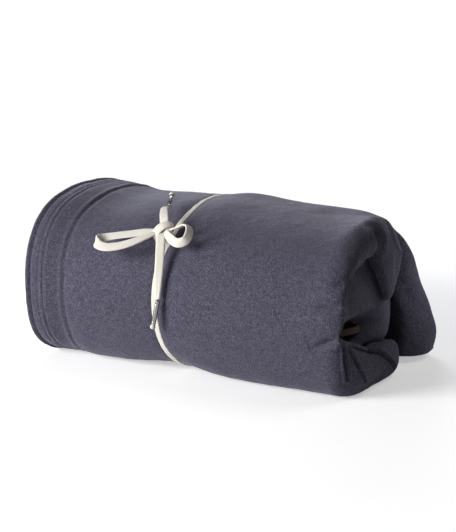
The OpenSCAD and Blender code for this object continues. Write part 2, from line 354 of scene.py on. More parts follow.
# Inner edge of the folded end's mouth, as (q, y, z)
MOUTH = np.array(
    [
        (50, 47, 122),
        (60, 34, 96),
        (70, 9, 74),
        (78, -4, 88),
        (86, -14, 106),
        (94, -24, 124),
        (100, -31, 134),
        (106, -44, 130),
        (112, -54, 131),
        (120, -66, 124),
        (126, -74, 125),
        (134, -86, 116),
        (142, -90, 117),
        (152, -96, 108),
        (160, -95, 102),
        (170, -99, 94),
        (180, -100, 82),
        (192, -105, 68),
        (200, -99, 64),
        (212, -86, 59),
        (235, -58, 52),
        (255, -30, 45),
        (272, -2, 38),
        (290, 22, 33),
        (305, 47, 29),
        (318, 60, 32),
        (330, 72, 46),
        (360, 77, 84),
        (390, 62, 112),
        (410, 49, 122),
    ],
    float,
)

# Where the folded end stops along the roll, by angle round the section
END_ANGLES = [50, 56, 62, 75, 100, 120, 150, 180, 192, 204, 225, 245, 262, 280, 292, 304, 316, 330, 390, 410]
END_X = [150, 156, 160, 163, 163, 162, 162, 162, 159, 161, 164, 168, 171, 170, 163, 149, 128, 108, 110, 135]

# Outline of the rolled core where it fills the mouth: (degrees round its middle, y, z)
CORE_CENTRE = np.array([-29.0, 85.0])
CORE_OUTLINE = np.array(
    [
        (0, 54, 84),
        (16, 60, 62),
        (28, 61, 42),
        (38, 50, 28),
        (52, 20, 27),
        (70, -10, 32),
        (102, -46, 40),
        (128, -78, 50),
        (152, -100, 60),
        (176, -107, 82),
        (198, -101, 106),
        (216, -84, 124),
        (240, -60, 135),
        (262, -32, 138),
        (292, 0, 132),
        (322, 30, 114),
        (342, 46, 99),
        (360, 54, 84),
    ],
    float,
)


def core_outline(turned):
    """(y, z) of the rolled core's outline, by degrees turned from +Y towards the floor."""
    full_turn = [360, 0, 0]
    wrapped = np.concatenate(
        [CORE_OUTLINE[-3:-1] - full_turn, CORE_OUTLINE, CORE_OUTLINE[1:3] + full_turn]
    )
    out = smooth_curve(np.mod(turned, 360), wrapped[:, 0], wrapped[:, 1:])
    return out[..., 0], out[..., 1]


def rim_offsets(steps):
    """Half circle round a rim: (how far back from the rim, share of the thickness)."""
    t = np.linspace(0, math.pi, steps)
    return 1 - np.sin(t), (1 - np.cos(t)) / 2


def ply_thickness(x):
    """The roll is one ply thick near its hemmed end and a whole fold thick further in."""
    return PLY + (CLOTH - PLY) * smoothstep(x, -118, -108)


def outer_stations():
    """Places along the roll, closer together at the seam and at the drawcord."""
    return np.concatenate(
        [
            np.arange(RIM_X + 3, RIM_X + 17, 0.8),
            np.arange(RIM_X + 17, SEAM_X - 6, 2.2),
            np.arange(SEAM_X - 6, SEAM_X + 7, 0.8),
            np.arange(SEAM_X + 7, -50, 2.2),
            np.arange(-50, 2, 1.3),
            np.arange(2, 149, 2.0),
        ]
    )


def stretched(x, stop):
    """Stations past the middle of the roll, stretched so that the last lands on stop."""
    fixed, last = 40, 148
    return np.where(x <= fixed, x, fixed + (x - fixed) * (stop - fixed) / (last - fixed))


def roll_angles():
    """Angles round the outer cloth, closer together where its lip is pleated."""
    return np.concatenate(
        [
            np.arange(FLAP_ANGLE, 202, 1.25),
            np.arange(202, 258, 0.6),
            np.arange(258, FLAP_ANGLE + 360.1, 1.25),
        ]
    )


def roll_cloth_grid():
    q = roll_angles()[:, None]
    y_out, z_out = cloth_at(q, 0)
    end_x = smooth_curve(q, END_ANGLES, END_X)
    mouth = smooth_curve(q[:, 0], MOUTH[:, 0], MOUTH[:, 1:])[:, None, :]
    outer = np.stack([y_out, z_out], axis=-1)
    span = np.linalg.norm(mouth - outer, axis=-1)
    inward = unit(mouth - outer)
    r_in = np.minimum(8, 0.3 * span)
    # the lip rolls over slowly along the roll, but sharply where it rests on the floor
    r_along = 20 - 11 * smoothstep(q, 215, 240) * (1 - smoothstep(q, 305, 330))

    columns = []

    def add(x, yz):
        x = np.broadcast_to(x, yz.shape[:-1])
        columns.append(np.concatenate([x[..., None], yz], axis=-1))

    # hemmed rim, from the inner face round to the outer
    back, share = rim_offsets(7)
    rim_depth = PLY * (1 - share[None, :])
    add(RIM_X + 3 * back[None, :], np.stack(cloth_at(q, rim_depth), axis=-1))
    # outer face
    x = stretched(outer_stations()[None, :], end_x - r_along)
    add(x, np.stack(cloth_at(q, 0 * x), axis=-1))
    # rolled lip, from the outer face to the mouth
    t = np.radians(np.linspace(4, 88, 52))[None, :]
    fall = 1 - np.cos(t)
    puff = 3.5 * np.sin(np.pi * fall) * smoothstep(span, 25, 50)
    add(
        end_x - r_along * (1 - np.sin(t)) + puff,
        outer + inward * ((span - r_in) * fall)[..., None],
    )
    # rounded inner corner
    t = np.radians(np.linspace(5, 80, 6))[None, :]
    add(end_x - r_in * (1 - np.cos(t)), mouth - inward * (r_in * (1 - np.sin(t)))[..., None])
    # wall of the mouth: it opens out round the core, then runs back
    from_core = mouth - CORE_CENTRE
    turned = -np.degrees(np.arctan2(from_core[..., 1], from_core[..., 0]))
    core = np.stack(core_outline(turned), axis=-1) + unit(from_core) * 2
    wider = np.linalg.norm(core - CORE_CENTRE, axis=-1) > np.linalg.norm(
        mouth - CORE_CENTRE, axis=-1
    )
    wall = np.where(wider[..., None], core, mouth)
    s = np.linspace(0.15, 1, 10)[None, :]
    opened = smoothstep(s, 0, 0.45)[..., None]
    add(end_x - r_in - 2 - 40 * s, mouth * (1 - opened) + wall * opened)
    # inner face, back to the rim
    x = np.linspace(0, 1, 50)[None, :]
    x = (end_x - 72) * (1 - x) + (RIM_X + 3) * x
    add(x, np.stack(cloth_at(q, ply_thickness(x)), axis=-1))
    return np.concatenate(columns, axis=1)


FRONT_CREASES = [
    ([(158, -104, 66), (148, -110, 60), (134, -112, 52)], 6, 3),
    ([(160, -100, 60), (165, -93, 22)], 7, 1.4),
    ([(162, -92, 54), (168, -67, 16)], 7, 1.4),
    ([(162, -84, 54), (170, -40, 38), (172, 4, 8)], 9, 1.6),
    ([(160, -102, 94), (150, -108, 93), (140, -111, 92)], 5, 3),
    ([(162, -94, 116), (150, -104, 112)], 3, 4),
    ([(156, 36, 150), (160, 26, 112)], 4, 3.5),
    ([(162, -23, 160), (165, -27, 136)], 9, 5),
    ([(160, 30, 152), (163, 14, 108)], 4, 5),
    ([(-44, -80, 152), (-74, -50, 160)], 1.6, 7),
    ([(-14, -96, 142), (22, -70, 152)], 1.8, 8),
    ([(-8, -86, 24), (26, -99, 40)], 2, 8),
]


# Rows round the open end, each (place along the roll, depth, width): two of stitching
# near the rim, then the ridge and groove where the hem band is sewn on
STITCH_SPACING = 5
RIM_ROWS = [RIM_X + 7.5, RIM_X + 7.5 + STITCH_SPACING]
BAND_ROWS = [(x, 0.7, 1.2) for x in RIM_ROWS] + [(SEAM_X - 2, -0.8, 2.2), (SEAM_X + 2.2, 0.8, 1.8)]


def seam_grooves(grid, normals, rows, columns):
    """Presses seams into the cloth at places along the roll, or raises them."""
    push = np.zeros(grid.shape[:-1])
    for x, depth, width in rows:
        push[:, columns] += depth * np.exp(-(((grid[:, columns, 0] - x) / width) ** 2))
    return grid - normals * push[..., None]


def finished_cloth(grid, creases=(), rows=(), face_columns=slice(0, 0)):
    """Takes an even grid of cloth to its final shape, and gives its normals too."""
    grid = outward(settle(grid)) if tube_volume(grid) > 0 else settle(grid)
    sign = 1 if tube_volume(grid) > 0 else -1
    normals = sign * grid_normals(grid)
    grid = creased(grid, normals, creases)
    grid = seam_grooves(grid, normals, rows, face_columns)
    grid = keep_above_floor(fuzzed(grid, normals))
    return grid, sign * grid_normals(grid), sign


def cloth_piece(name, grid, sign, material):
    rows, columns = grid.shape[:2]
    faces = grid_faces(rows, columns)
    if sign < 0:
        faces = [face[::-1] for face in faces]
    return new_piece(name, grid.reshape(-1, 3), faces, material)


# ---------------------------------------------------------------- back cloth, q -40 to 50

# How far the flap's folded end reaches along the roll, by height
FLAP_REACH_Z = [FREE_EDGE_Z, 23, 47, 79, 103, 125, 160]
FLAP_REACH_BACK = [0, -2, 6, 21, 28, 37, 40]

# Folded end of the flap, seen from above: how far (back from its end, in from the outside)
OPEN_FOLD = [
    (14, 0),
    (4, 2),
    (0, 9),
    (0, 23),
    (3, 37),
    (10, 48),
    (20, 54),
    (32, 50),
    (45, 34),
    (60, 15),
    (74, 11),
]
PLAIN_FOLD = [
    (14, 0),
    (6, 0.8),
    (1.5, 3),
    (0, 5.5),
    (1.5, 8),
    (6, 10.2),
    (14, 11),
    (28, 11),
    (44, 11),
    (60, 11),
    (74, 11),
]


def back_cloth_grid():
    low = -HANG_ANGLE + 5.5 * HANG_ANGLE / (MID_Z - FREE_EDGE_Z)
    edge = np.linspace(-HANG_ANGLE, low, 6)[:-1]
    q = np.concatenate([edge, np.arange(low, FLAP_ANGLE - 0.7, 1.25), [FLAP_ANGLE]])[:, None]
    _, height = cloth_at(q, 0)
    end_x = FLAP_END_X - smooth_curve(height, FLAP_REACH_Z, FLAP_REACH_BACK)
    opened = np.clip((124 - height) / (124 - 16), 0, 1)[..., None]

    # the free edge is rounded over its last few millimetres
    from_edge = np.clip((q - q[0]) / (low + HANG_ANGLE), 0, 1)
    fullness = np.sqrt(np.clip(1 - (1 - from_edge) ** 2, 0.02, 1))
    hem = 0.6 * smoothstep(-height, -FREE_EDGE_Z - 19, -FREE_EDGE_Z - 17)

    xs, depths = [], []
    back, share = rim_offsets(7)
    xs.append(RIM_X + 3 * back[None, :] + 0 * q)
    depths.append(PLY * (1 - share[None, :]) + 0 * q)
    x = stretched(outer_stations()[None, :], end_x - 18)
    xs.append(x)
    depths.append(-hem + 0 * x)
    s = np.linspace(0, 1, 60)
    stations = np.linspace(0, 1, len(OPEN_FOLD))
    open_fold = smooth_curve(s, stations, OPEN_FOLD)[None]
    plain_fold = smooth_curve(s, stations, PLAIN_FOLD)[None]
    fold = open_fold * opened + plain_fold * (1 - opened)
    xs.append(end_x - fold[..., 0])
    depths.append(fold[..., 1])
    x = np.linspace(0, 1, 60)[None, :]
    x = (end_x - 78) * (1 - x) + (RIM_X + 3) * x
    xs.append(x)
    # between the hem and the drawcord the cloth is pulled tight against the turn below it
    pulled = smoothstep(x, -118, -100) * (1 - smoothstep(x, CORD_X - 10, CORD_X + 2))
    depths.append(ply_thickness(x) + hem + 10 * pulled * smoothstep(q, -8, 6))
    x = np.concatenate(xs, axis=1)
    depth = np.concatenate(depths, axis=1)
    middle = CLOTH / 2
    depth = middle + (depth - middle) * fullness
    y, z = cloth_at(q + 0 * x, depth)
    return np.stack([x, y, z], axis=-1)


FLAP_CREASES = [
    ([(168, 92, 40), (150, 60, 90)], 2.2, 6),
    ([(150, 112, 60), (120, 112, 100)], 1.5, 9),
    ([(60, 110, 40), (95, 104, 120)], 1.5, 12),
]


# ---------------------------------------------------------------- inner ply and inner turns


def inner_ply_grid():
    """The second ply's hem, which stands out past the first and flares a little more."""
    q = np.arange(-HANG_ANGLE, 404, 2)[:, None]
    rim_x = INNER_RIM_X + 9 * smoothstep(q, 300, 400)
    back, share = rim_offsets(7)
    rim = rim_x + 2.6 * back[None, :]
    outer = rim_x + 3 + (SEAM_X + 13 - rim_x) * np.linspace(0, 1, 36)[None, :]
    x = np.concatenate([rim, outer, outer[:, ::-1]], axis=1)
    tuck = 6.4 - 7.4 * smoothstep(-x, -INNER_RIM_X - 14, -INNER_RIM_X - 1)
    shares = [1 - share[None, :] + 0 * q, 0 * outer, 1 + 0 * outer]
    depth = tuck + 4.6 * np.concatenate(shares, axis=1)
    y, z = cloth_at(q + 0 * x, depth)
    return np.stack([x, y, z], axis=-1)


def inner_turns_grid():
    """The turns inside the outer one, seen at the roll's open hemmed end."""
    q = np.arange(FLAP_ANGLE + 360, 1860, 5)[:, None]
    # they carry on from the outer turn's rim, then stand back unevenly from it
    onward = smoothstep(q, FLAP_ANGLE + 360, FLAP_ANGLE + 440)
    ragged = 4 * np.sin(np.radians(q * 0.31)) + 3 * np.sin(np.radians(q * 1.7))
    left = RIM_X - 2 + onward * (11 + ragged)
    back, share = rim_offsets(7)
    inside = left + 5 + (60 - left) * np.linspace(0.05, 1, 12)[None, :]
    x = np.concatenate([left + 5 * back[None, :], inside, inside[:, ::-1]], axis=1)
    shares = [1 - share[None, :] + 0 * q, 0 * inside, 1 + 0 * inside]
    pitch = TURN_PITCH + TURN_LOOSENESS * np.cos(np.radians(q))
    folded = PLY + (9 - PLY) * onward
    thickness = folded + (pitch - 9.6) * smoothstep(x, RIM_X + 20, RIM_X + 60)
    depth = thickness * np.concatenate(shares, axis=1)
    y, z = cloth_at(q + 0 * x, depth)
    return np.stack([x, y, z], axis=-1)


# ---------------------------------------------------------------- rolled core seen in the mouth

CORE_END_X = FOLD_X - 10
CORE_ROUND = 18
PLUG_X = 96


def core_grid():
    """A long pillow: its domed end fills the mouth of the folded end."""
    turned = np.arange(0, 360, 2.0)[None, :]
    y_out, z_out = core_outline(turned)
    rho = np.concatenate([np.linspace(0.02, 0.7, 30), np.linspace(0.72, 1, 20)])[:, None]
    edge = np.clip((rho - 0.7) / 0.3, 0, 1)
    dome = CORE_END_X - CORE_ROUND * (1 - np.sqrt(np.clip(1 - edge**2, 0, 1)))
    y = CORE_CENTRE[0] + (y_out - CORE_CENTRE[0]) * rho
    z = CORE_CENTRE[1] + (z_out - CORE_CENTRE[1]) * rho
    hollow = np.hypot((y - HOLLOW[1]) / HOLLOW_REACH[0], (z - HOLLOW[2]) / HOLLOW_REACH[1])
    dome = dome - HOLLOW_DEPTH * np.exp(-(hollow**3))
    dome = dome - 5 * smoothstep(y, 5, 55) - 8 * smoothstep(z, 80, 132)
    front = np.stack([dome + 0 * y, y, z], axis=-1)
    back_x = np.linspace(CORE_END_X - CORE_ROUND - 6, PLUG_X, 6)[:, None]
    back = np.stack([back_x + 0 * y_out, y_out + 0 * back_x, z_out + 0 * back_x], axis=-1)
    # further in, the core is as wide as the turn that holds it
    angle = np.mod(-turned, 360)
    y_held, z_held = cloth_at(np.where(angle < FLAP_ANGLE, angle + 360, angle), CLOTH / 2)
    plug_x = np.array([PLUG_X - 2, PLUG_X - 16, PLUG_X - 30])[:, None]
    plug = np.stack([plug_x + 0 * y_held, y_held + 0 * plug_x, z_held + 0 * plug_x], axis=-1)
    return np.concatenate([front, back, plug], axis=0)


# Hollow in the core's end that the loop of cord is tucked into
HOLLOW = (CORE_END_X, -59.0, 57.0)
HOLLOW_REACH = (50.0, 11.0)
HOLLOW_DEPTH = 34

CORE_CREASES = [
    ([(154, -80, 122), (156, -66, 76)], 3, 9),
    ([(156, -20, 128), (157, 4, 60)], 2.5, 12),
]


# ---------------------------------------------------------------- materials


def new_material(name):
    material = bpy.data.materials.new(name)
    material.use_nodes = True
    nodes = material.node_tree.nodes
    return material, nodes, material.node_tree.links, nodes["Principled BSDF"]


def noise_node(nodes, links, vector, scale, detail=2.0, roughness=0.5):
    node = nodes.new("ShaderNodeTexNoise")
    node.inputs["Scale"].default_value = scale
    node.inputs["Detail"].default_value = detail
    node.inputs["Roughness"].default_value = roughness
    links.new(vector, node.inputs["Vector"])
    return node


def ramp_node(nodes, links, factor, stops):
    node = nodes.new("ShaderNodeValToRGB")
    node.color_ramp.elements[0].position = stops[0][0]
    node.color_ramp.elements[0].color = (*stops[0][1], 1)
    node.color_ramp.elements[1].position = stops[-1][0]
    node.color_ramp.elements[1].color = (*stops[-1][1], 1)
    for place, colour in stops[1:-1]:
        node.color_ramp.elements.new(place).color = (*colour, 1)
    links.new(factor, node.inputs["Fac"])
    return node


def mix_node(nodes, links, factor, first, second, blend="MIX"):
    node = nodes.new("ShaderNodeMix")
    node.data_type = "RGBA"
    node.blend_type = blend
    for socket, value in (("Factor", factor), ("A", first), ("B", second)):
        target = [s for s in node.inputs if s.name == socket and s.enabled][0]
        if hasattr(value, "is_linked"):
            links.new(value, target)
        else:
            target.default_value = value
    return [s for s in node.outputs if s.enabled][0]


def bump_node(nodes, links, height, strength, distance, previous=None):
    node = nodes.new("ShaderNodeBump")
    node.inputs["Strength"].default_value = strength
    node.inputs["Distance"].default_value = distance
    links.new(height, node.inputs["Height"])
    if previous is not None:
        links.new(previous, node.inputs["Normal"])
    return node.outputs["Normal"]


def fleece_material():
    """Heather navy sweatshirt fleece: dark yarn with pale flecks, brushed and matt."""
    material, nodes, links, shader = new_material("heather_fleece")
    place = nodes.new("ShaderNodeTexCoord").outputs["Object"]
    stretch = nodes.new("ShaderNodeMapping")
    stretch.inputs["Scale"].default_value = (1, 1, 0.55)
    links.new(place, stretch.inputs["Vector"])
    flecks = noise_node(nodes, links, stretch.outputs["Vector"], 1150, 5, 0.78)
    patches = noise_node(nodes, links, place, 260, 2)
    shade = ramp_node(
        nodes,
        links,
        flecks.outputs["Fac"],
        [
            (0.36, (0.021, 0.020, 0.031)),
            (0.50, (0.052, 0.049, 0.073)),
            (0.64, (0.122, 0.116, 0.158)),
        ],
    )
    soft = ramp_node(
        nodes, links, patches.outputs["Fac"], [(0.3, (0.86,) * 3), (0.7, (1.14,) * 3)]
    )
    colour = mix_node(nodes, links, 1.0, shade.outputs["Color"], soft.outputs["Color"], "MULTIPLY")
    links.new(colour, shader.inputs["Base Color"])
    shader.inputs["Roughness"].default_value = 0.95
    shader.inputs["Specular IOR Level"].default_value = 0.15
    shader.inputs["Sheen Weight"].default_value = 0.22
    shader.inputs["Sheen Roughness"].default_value = 0.5
    shader.inputs["Sheen Tint"].default_value = (0.75, 0.74, 0.9, 1)
    fuzz = noise_node(nodes, links, place, 1500, 3, 0.6)
    nap = noise_node(nodes, links, place, 320, 2)
    normal = bump_node(nodes, links, nap.outputs["Fac"], 0.35, 0.0012)
    normal = bump_node(nodes, links, fuzz.outputs["Fac"], 0.5, 0.0004, normal)
    links.new(normal, shader.inputs["Normal"])
    return material


def thread_material():
    material, nodes, links, shader = new_material("hem_thread")
    place = nodes.new("ShaderNodeTexCoord").outputs["Object"]
    twist = noise_node(nodes, links, place, 2400, 1)
    shade = ramp_node(
        nodes,
        links,
        twist.outputs["Fac"],
        [(0.3, (0.05, 0.048, 0.075)), (0.7, (0.11, 0.106, 0.15))],
    )
    links.new(shade.outputs["Color"], shader.inputs["Base Color"])
    shader.inputs["Roughness"].default_value = 0.7
    return material


# Cream cotton tones from the bottom to the top of the yarn wave: the darker low end is painted shade in the
# grooves between yarns
NATURAL_WITH_GROOVE_SHADE = [(0.0, (0.46, 0.42, 0.35)), (0.45, (0.69, 0.65, 0.59)), (1.0, (0.80, 0.775, 0.725))]
# Tan tones made very dark: a tan colour with painted shade of the deep hollow the tucked loop lies in
TAN_WITH_PAINTED_SHADE = [(0.0, (0.05, 0.032, 0.022)), (0.45, (0.085, 0.058, 0.04)), (1.0, (0.105, 0.073, 0.052))]


def cotton_material(name, tones):
    """Flat braided cotton: a chevron of small yarns, read from each cord's own mapping."""
    material, nodes, links, shader = new_material(name)
    braid = nodes.new("ShaderNodeAttribute")
    braid.attribute_name = "braid"
    parts = nodes.new("ShaderNodeSeparateXYZ")
    links.new(braid.outputs["Vector"], parts.inputs["Vector"])
    across = nodes.new("ShaderNodeMath")
    across.operation = "ABSOLUTE"
    links.new(parts.outputs["X"], across.inputs[0])
    slant = nodes.new("ShaderNodeMath")
    slant.operation = "MULTIPLY_ADD"
    slant.inputs[1].default_value = 1.1
    links.new(across.outputs[0], slant.inputs[0])
    links.new(parts.outputs["Y"], slant.inputs[2])
    yarns = nodes.new("ShaderNodeMath")
    yarns.operation = "MULTIPLY"
    yarns.inputs[1].default_value = 2 * math.pi / 1.7
    links.new(slant.outputs[0], yarns.inputs[0])
    wave = nodes.new("ShaderNodeMath")
    wave.operation = "SINE"
    links.new(yarns.outputs[0], wave.inputs[0])
    lift = nodes.new("ShaderNodeMapRange")
    lift.inputs["From Min"].default_value = -1
    links.new(wave.outputs[0], lift.inputs["Value"])
    place = nodes.new("ShaderNodeTexCoord").outputs["Object"]
    fibres = noise_node(nodes, links, place, 1800, 3, 0.6)
    # The yarn wave darkens the colour where the bump sinks: painted shade in the grooves between yarns
    shade = ramp_node(nodes, links, lift.outputs["Result"], tones)
    soft = ramp_node(
        nodes, links, fibres.outputs["Fac"], [(0.3, (0.93,) * 3), (0.7, (1.05,) * 3)]
    )
    colour = mix_node(nodes, links, 1.0, shade.outputs["Color"], soft.outputs["Color"], "MULTIPLY")
    links.new(colour, shader.inputs["Base Color"])
    shader.inputs["Roughness"].default_value = 0.85
    shader.inputs["Specular IOR Level"].default_value = 0.25
    shader.inputs["Sheen Weight"].default_value = 0.15
    shader.inputs["Subsurface Weight"].default_value = 0.15
    shader.inputs["Subsurface Radius"].default_value = (0.002, 0.0016, 0.0012)
    normal = bump_node(nodes, links, lift.outputs["Result"], 0.6, 0.0003)
    normal = bump_node(nodes, links, fibres.outputs["Fac"], 0.4, 0.0002, normal)
    links.new(normal, shader.inputs["Normal"])
    return material


def nickel_material():
    material, nodes, links, shader = new_material("polished_nickel")
    place = nodes.new("ShaderNodeTexCoord").outputs["Object"]
    wear = noise_node(nodes, links, place, 900, 3)
    rough = nodes.new("ShaderNodeMapRange")
    rough.inputs["To Min"].default_value = 0.16
    rough.inputs["To Max"].default_value = 0.34
    links.new(wear.outputs["Fac"], rough.inputs["Value"])
    links.new(rough.outputs["Result"], shader.inputs["Roughness"])
    shader.inputs["Base Color"].default_value = (0.46, 0.44, 0.42, 1)
    shader.inputs["Metallic"].default_value = 1
    return material


fleece = fleece_material()
thread = thread_material()
cotton = cotton_material("braided_cotton", NATURAL_WITH_GROOVE_SHADE)
tan_cotton_painted_shade = cotton_material("tan_cotton_painted_shade", TAN_WITH_PAINTED_SHADE)
nickel = nickel_material()


# ---------------------------------------------------------------- build the cloth

rim_count = 7
face_columns = slice(rim_count, rim_count + len(outer_stations()))

roll_grid, roll_normals, roll_sign = finished_cloth(
    roll_cloth_grid(), FRONT_CREASES, BAND_ROWS, face_columns
)
roll_cloth = cloth_piece("roll_cloth", roll_grid, roll_sign, fleece)
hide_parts("outer_wrap", "outer_ply_hem")
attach(roll_cloth, "roll")

back_grid, back_normals, back_sign = finished_cloth(
    back_cloth_grid(), FLAP_CREASES, BAND_ROWS, face_columns
)
back_cloth = cloth_piece("back_cloth", back_grid, back_sign, fleece)
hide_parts("back_edge_hem", "back_flap", "flap_folded_end", "flap_hem")
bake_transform(back_cloth)

ply_grid, _, ply_sign = finished_cloth(inner_ply_grid())
inner_ply = cloth_piece("inner_ply", ply_grid, ply_sign, fleece)
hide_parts("inner_ply_hem")
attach(inner_ply, "roll")

turns_grid, _, turns_sign = finished_cloth(inner_turns_grid())
inner_turns = cloth_piece("inner_turns", turns_grid, turns_sign, fleece)
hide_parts("inner_wraps")
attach(inner_turns, "roll")

core_shape, _, core_sign = finished_cloth(core_grid(), CORE_CREASES)
core = cloth_piece("rolled_core", core_shape, core_sign, fleece)
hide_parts("core_roll")
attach(core, "roll")


# ---------------------------------------------------------------- stitching


def resampled(points, normals, pitch):
    """Points at an even pitch along a line, with their normals and headings."""
    steps = np.linalg.norm(np.diff(points, axis=0), axis=1)
    along = np.concatenate([[0], np.cumsum(steps)])
    at = np.arange(pitch / 2, along[-1], pitch)
    middle = np.stack([np.interp(at, along, points[:, k]) for k in range(3)], axis=1)
    ahead = np.stack([np.interp(at + 0.5, along, points[:, k]) for k in range(3)], axis=1)
    behind = np.stack([np.interp(at - 0.5, along, points[:, k]) for k in range(3)], axis=1)
    facing = np.stack([np.interp(at, along, normals[:, k]) for k in range(3)], axis=1)
    return middle, unit(facing), unit(ahead - behind)


def stitch_shape(middle, facing, heading, length=2.6, width=0.95, height=0.55):
    """One stitch: a small bar of thread that dips into the cloth at both ends."""
    rings, sides = 5, 6
    beside = np.cross(facing, heading)
    points = []
    for i in range(rings):
        t = i / (rings - 1)
        size = math.sin(math.pi * (0.12 + 0.76 * t))
        centre = middle + heading * length * (t - 0.5) + facing * (height * size - 0.45)
        for j in range(sides):
            a = 2 * math.pi * j / sides
            points.append(
                centre
                + beside * (width / 2 * size * math.cos(a))
                + facing * (height / 2 * size * math.sin(a))
            )
    return np.array(points), grid_faces(rings, sides)


def stitching(name, lines, nodes, body=None):
    parts = []
    for points, normals in lines:
        for stitch in zip(*resampled(points, normals, 3.3)):
            parts.append(stitch_shape(*stitch))
    points, faces = joined(parts)
    piece = new_piece(name, points, faces, thread)
    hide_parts(*nodes)
    if body is not None:
        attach(piece, body)
    return piece


def nearest_column(grid, x):
    columns = grid[:, face_columns, 0].mean(axis=0)
    return face_columns.start + int(np.argmin(np.abs(columns - x)))


def end_seam_lines(grid, normals):
    lines = []
    for x in RIM_ROWS:
        j = nearest_column(grid, x)
        above = grid[:, j, 2] > 1.5
        lines.append((grid[above, j], normals[above, j]))
    return lines


def free_edge_lines():
    """Rows of stitching along the free edge, from the seam to the flap's folded end."""
    lines = []
    last = face_columns.stop + 24
    for height in (FREE_EDGE_Z + 15, FREE_EDGE_Z + 15 - STITCH_SPACING):
        row = int(np.argmin(np.abs(back_grid[:, face_columns.start + 40, 2] - height)))
        start = nearest_column(back_grid, SEAM_X + 4)
        lines.append((back_grid[row, start:last], back_normals[row, start:last]))
    return lines


def parted(lines, x):
    """The same lines cut in two at a place along the roll."""
    before, after = [], []
    for points, normals in lines:
        left = points[:, 0] < x
        before.append((points[left], normals[left]))
        after.append((points[~left], normals[~left]))
    return before, after


edge_left, edge_right = parted(free_edge_lines(), CORD_X)
wall_rows = roll_angles() < 213
wall_lines = end_seam_lines(roll_grid[wall_rows], roll_normals[wall_rows])
back_lines = end_seam_lines(back_grid, back_normals)
stitching("end_seam", wall_lines + back_lines + edge_left, ["roll_hem_stitching"], "roll")
flap_seam = stitching("flap_seam", edge_right, ["flap_hem_stitching"])
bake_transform(flap_seam)


# ---------------------------------------------------------------- drawcord

CORD_WIDTH = 8.6
CORD_TIGHT_WIDTH = 6
CORD_THICKNESS = 2.2
BOW_TILT = math.radians(46)  # the bow lies on the slope of the cloth
ALONG = np.array([1.0, 0, 0])
UP_CLOTH = np.array([0, math.cos(BOW_TILT), math.sin(BOW_TILT)])
OUT = np.array([0, -math.sin(BOW_TILT), math.cos(BOW_TILT)])


def at_knot(place):
    """Point in the bow's own frame: along the roll, up the cloth, out of the cloth."""
    along, up, out = place
    return KNOT + along * ALONG + up * UP_CLOTH + out * OUT


def cord_mesh(path, facing, widths, thicknesses, step=0.8):
    """A flat cord along a smooth path. Facing gives the way its flat side looks."""
    path = np.asarray(path, float)
    count = len(path)
    at = np.concatenate([[0], np.cumsum(np.linalg.norm(np.diff(path, axis=0), axis=1))])
    s = np.linspace(0, at[-1], max(8, int(at[-1] / step)))
    centre = smooth_curve(s, at, path)
    heading = unit(np.gradient(centre, axis=0))
    face = smooth_curve(s, at, np.broadcast_to(facing, (count, 3)))
    face = unit(face - heading * np.sum(face * heading, axis=1, keepdims=True))
    beside = np.cross(heading, face)
    width = np.interp(s, at, np.broadcast_to(widths, (count,)))
    thick = np.interp(s, at, np.broadcast_to(thicknesses, (count,)))
    t = np.linspace(0, 2 * math.pi, 20, endpoint=False)
    c, w = np.cos(t), np.sin(t)
    across = np.sign(c) * np.abs(c) ** 0.75
    over = np.sign(w) * np.abs(w) ** 0.6 * (1 - 0.22 * np.exp(-((across / 0.16) ** 2)))
    ends = np.sqrt(np.clip(1 - (1 - np.clip(np.minimum(s, s[-1] - s) / 1.4, 0, 1)) ** 2, 0.1, 1))
    grid = (
        centre[:, None]
        + beside[:, None] * (across[None, :] * (width * ends)[:, None] / 2)[..., None]
        + face[:, None] * (over[None, :] * (thick * ends)[:, None] / 2)[..., None]
    )
    braid = np.stack(
        [
            across[None, :] * width[:, None] / 2,
            s[:, None] + 0 * across[None, :],
            0 * width[:, None] * across[None, :],
        ],
        axis=-1,
    )
    return grid, braid


def cord_piece(name, strands, nodes, body, material=cotton):
    """One piece of drawcord made of one or more strands."""
    parts, braids = [], []
    for strand in strands:
        grid, braid = cord_mesh(*strand)
        grid = keep_above_floor(grid, 0.1)
        faces = grid_faces(*grid.shape[:2])
        if tube_volume(grid) < 0:
            faces = [face[::-1] for face in faces]
        parts.append((grid.reshape(-1, 3), faces))
        braids.append(braid.reshape(-1, 3))
    points, faces = joined(parts)
    piece = new_piece(name, points, faces, material)
    attribute = piece.data.attributes.new("braid", "FLOAT_VECTOR", "POINT")
    attribute.data.foreach_set("vector", np.concatenate(braids).ravel())
    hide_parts(*nodes)
    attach(piece, body)
    return piece


def surface_of(pieces):
    points, faces = joined(
        [(np.array([v.co for v in p.data.vertices]), [tuple(f.vertices) for f in p.data.polygons])
         for p in pieces]
    )
    return BVHTree.FromPolygons(points, faces)


cloth_surface = surface_of([roll_cloth, back_cloth])


def on_cloth(x, angle, lift):
    """Point just off the cloth, and the way the cloth faces there."""
    away = np.array([0, math.cos(math.radians(angle)), math.sin(math.radians(angle))])
    start = np.array([x, 0, MID_Z]) + 200 * away
    hit, normal, _, _ = cloth_surface.ray_cast(Vector(start * MM), Vector(-away))
    return np.array(hit) / MM + np.array(normal) * lift, np.array(normal)


def cord_round_roll():
    """The tight cord: up over the roll, down its back and under it to the knot again."""
    lift = 0.5
    path, facing = [], []
    for angle in range(152, 300, 4):
        point, normal = on_cloth(float(cord_path_x(angle)), angle, lift)
        point[2] = max(point[2], 1.8)
        path.append(point)
        facing.append(normal)
    path.append(np.array([CORD_X, 88, 2.5]))
    facing.append(np.array([0, 0.3, -1]))
    path.append(np.array([CORD_X, 100, 6.0]))
    facing.append(np.array([0, 0.8, -0.6]))
    for angle in [-36, -30] + list(range(-24, 150, 4)):
        point, normal = on_cloth(float(cord_path_x(angle)), angle, lift)
        path.append(point)
        facing.append(normal)
    return np.array(path), np.array(facing)


